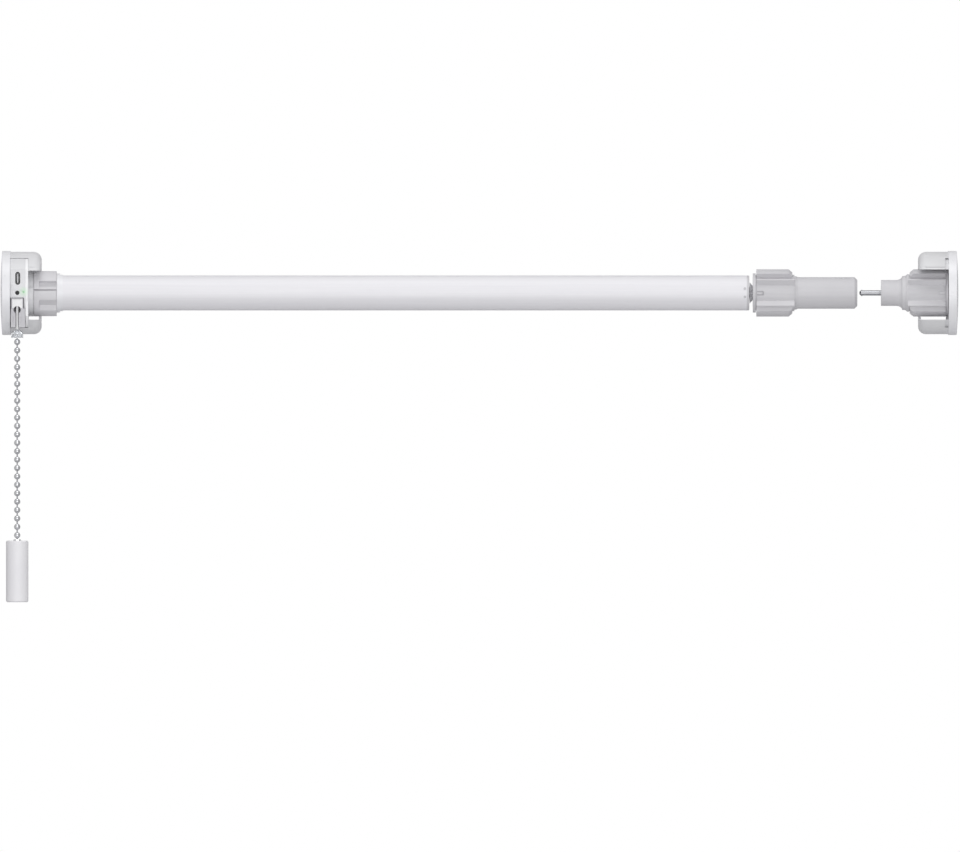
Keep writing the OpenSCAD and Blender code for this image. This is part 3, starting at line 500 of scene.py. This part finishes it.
def make_spring(steel):
    """The pull's coil, wound in the CAD spring's box; on the real pull it shortens as the slider comes down.
    """
    low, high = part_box("pull_spring")
    centre = Vector(((low[0] + high[0]) / 2, (low[1] + high[1]) / 2, 0))
    steps, sides = 24, 8  # a turn's rings, and the corners of a ring
    coil_r = (high[0] - low[0]) / 2 - SPRING_WIRE_R
    rise = high[2] - low[2] - 2 * SPRING_WIRE_R
    slope = rise / (2 * math.pi * SPRING_TURNS * coil_r)
    bm = bmesh.new()
    rings = []
    for i in range(SPRING_TURNS * steps + 1):
        share = i / (SPRING_TURNS * steps)
        turn = 2 * math.pi * SPRING_TURNS * share
        out = Vector((math.cos(turn), math.sin(turn), 0))
        along = Vector((-math.sin(turn), math.cos(turn), slope)).normalized()
        up = along.cross(out)
        middle = centre + coil_r * out + Vector((0, 0, low[2] + SPRING_WIRE_R + rise * share))
        angles = [2 * math.pi * k / sides for k in range(sides)]
        around = [math.cos(a) * out + math.sin(a) * up for a in angles]
        rings.append([bm.verts.new(middle + SPRING_WIRE_R * direction) for direction in around])
    for first, second in zip(rings, rings[1:]):
        for k in range(sides):
            bm.faces.new((first[k], first[(k + 1) % sides], second[(k + 1) % sides], second[k]))
    bm.faces.new(rings[0])
    bm.faces.new(rings[-1])
    coil = add_mesh("pull_coil", bm)
    smooth(coil, 60)
    coil.data.materials.append(steel)
    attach(coil, "fixed")
    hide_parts("pull_spring")
    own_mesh(coil)


def dress():
    """Gives every CAD solid its material, and returns the metals of the chain and of the spring."""
    cap = plastic("cap_plastic", (243, 243, 245), (239, 239, 242), (0.26, 0.34), 0.05, 1800)
    drum = plastic("drum_plastic", (229, 229, 230), (225, 225, 227), (0.42, 0.52))
    head = plastic("head_plastic", (230, 230, 232), (226, 226, 228), (0.42, 0.5), 0.08)
    bright = plastic("flange_plastic", (250, 250, 251), (247, 247, 248), (0.3, 0.4), 0.06)
    grey = plastic("grey_plastic", (216, 215, 218), (211, 210, 213), (0.4, 0.5), 0.1, gloss=0.2)
    crown = plastic("crown_plastic", (221, 220, 223), (216, 215, 218), (0.4, 0.5), 0.1, gloss=0.3)
    shaft = plastic("shaft_plastic", (240, 240, 243), (231, 231, 234), (0.35, 0.45), 0.12)
    inner_grey = plastic("bush_plastic", (214, 212, 208), (208, 206, 202), (0.4, 0.5), 0.1)
    black = plastic("black_plastic", (22, 22, 23), (16, 16, 17), (0.35, 0.45), 0.1)
    powder = plastic("powder_coat", (238, 238, 239), (232, 232, 234), (0.45, 0.6), 0.3, 1500)
    pendant = plastic("pendant_plastic", (242, 241, 243), (238, 237, 240), (0.42, 0.5), 0.1)
    pull_white = plastic("pull_white", (246, 246, 246), (240, 240, 240), (0.35, 0.45), 0.1)
    pull_grey = plastic("pull_grey", (206, 205, 208), (196, 195, 199), (0.4, 0.5), 0.1)
    rubber = plastic("rubber", (38, 38, 39), (30, 30, 31), (0.6, 0.75), 0.2, 1500)
    board = plastic("board_lacquer", (30, 92, 58), (24, 80, 50), (0.25, 0.35), 0.08, 900)
    cells = plastic("cell_sleeve", (74, 112, 170), (66, 102, 160), (0.3, 0.4), 0.06, 900)
    nickel = plastic("nickel_paint", (226, 226, 228), (214, 214, 217), (0.3, 0.4), 0.1)
    natural = plastic("gear_plastic", (226, 216, 190), (218, 206, 178), (0.4, 0.5), 0.1)
    magnets = plastic("magnet_ferrite", (62, 62, 66), (52, 52, 56), (0.5, 0.6), 0.2, 1200)
    copper = metal("copper_wire", (206, 132, 88), (184, 112, 70), (0.3, 0.4), (1, 8, 8))
    pin = metal("turned_steel", (196, 197, 200), (172, 173, 177), (0.32, 0.42), (6, 1, 1), 1200)
    spring = metal("spring_steel", (190, 191, 194), (168, 169, 173), (0.25, 0.35))
    sintered = metal("sintered_steel", (150, 150, 153), (128, 128, 132), (0.4, 0.55), None, 2600, 0.3)
    chain = metal("chain_steel", (226, 227, 229), (212, 213, 216), (0.08, 0.16), None, 900, 0.04)
    glow_around(head, (212, 240, 214))
    glow_around(bright, (226, 248, 228))
    for material, nodes in (
        (cap, "motor_cap idler_cap crown_collar tube_collar"),
        (drum, "motor_drum idler_drum"),
        (head, "head_housing"),
        (bright, "head_flange"),
        (grey, "drive_adapter idler_plug tube_end_plug"),
        (crown, "crown"),
        (inner_grey, "idler_bush output_bush"),
        (black, "program_button button_switch pull_switch motor_end_cap"),
        (black, "battery_tray board_carrier charging_shell"),
        (shaft, "output_shaft"),
        (powder, "motor_plate idler_plate"),
        (pendant, "pendant"),
        (pull_white, "pull_wire pull_cover pull_slider"),
        (pull_grey, "pull_frame end_screws"),
        (rubber, "motor_damper"),
        (board, "head_board control_board"),
        (cells, "battery_cells"),
        (natural, " ".join(f"{s}_planet_{k}" for s in ("first", "second") for k in "abc")),
        (magnets, "motor_magnets count_magnet"),
        (copper, "rotor"),
        (pin, "idler_axle head_screws adapter_screw"),
        (spring, "axle_clip bush_clip"),
        (sintered, "ring_gear gearbox_plate first_carrier motor_can"),
        (nickel, "charging_tongue"),
        (chain, "pendant_ferrule bead_chain"),
        (zinc_plate(), "head_back_plate"),
        (clear_plastic(), "chain_connector"),
        (painted_tube(), "motor_tube"),
        (green_light(), "light_guide"),
    ):
        for node in nodes.split():
            paint(node, material)
    return chain, spring


make_camera()
make_world()
make_lamps()
make_floor()
make_cards()
chain_steel, spring_steel = dress()
make_chain(chain_steel)
make_spring(spring_steel)
for rounded in ROUNDED:
    round_edges(rounded)
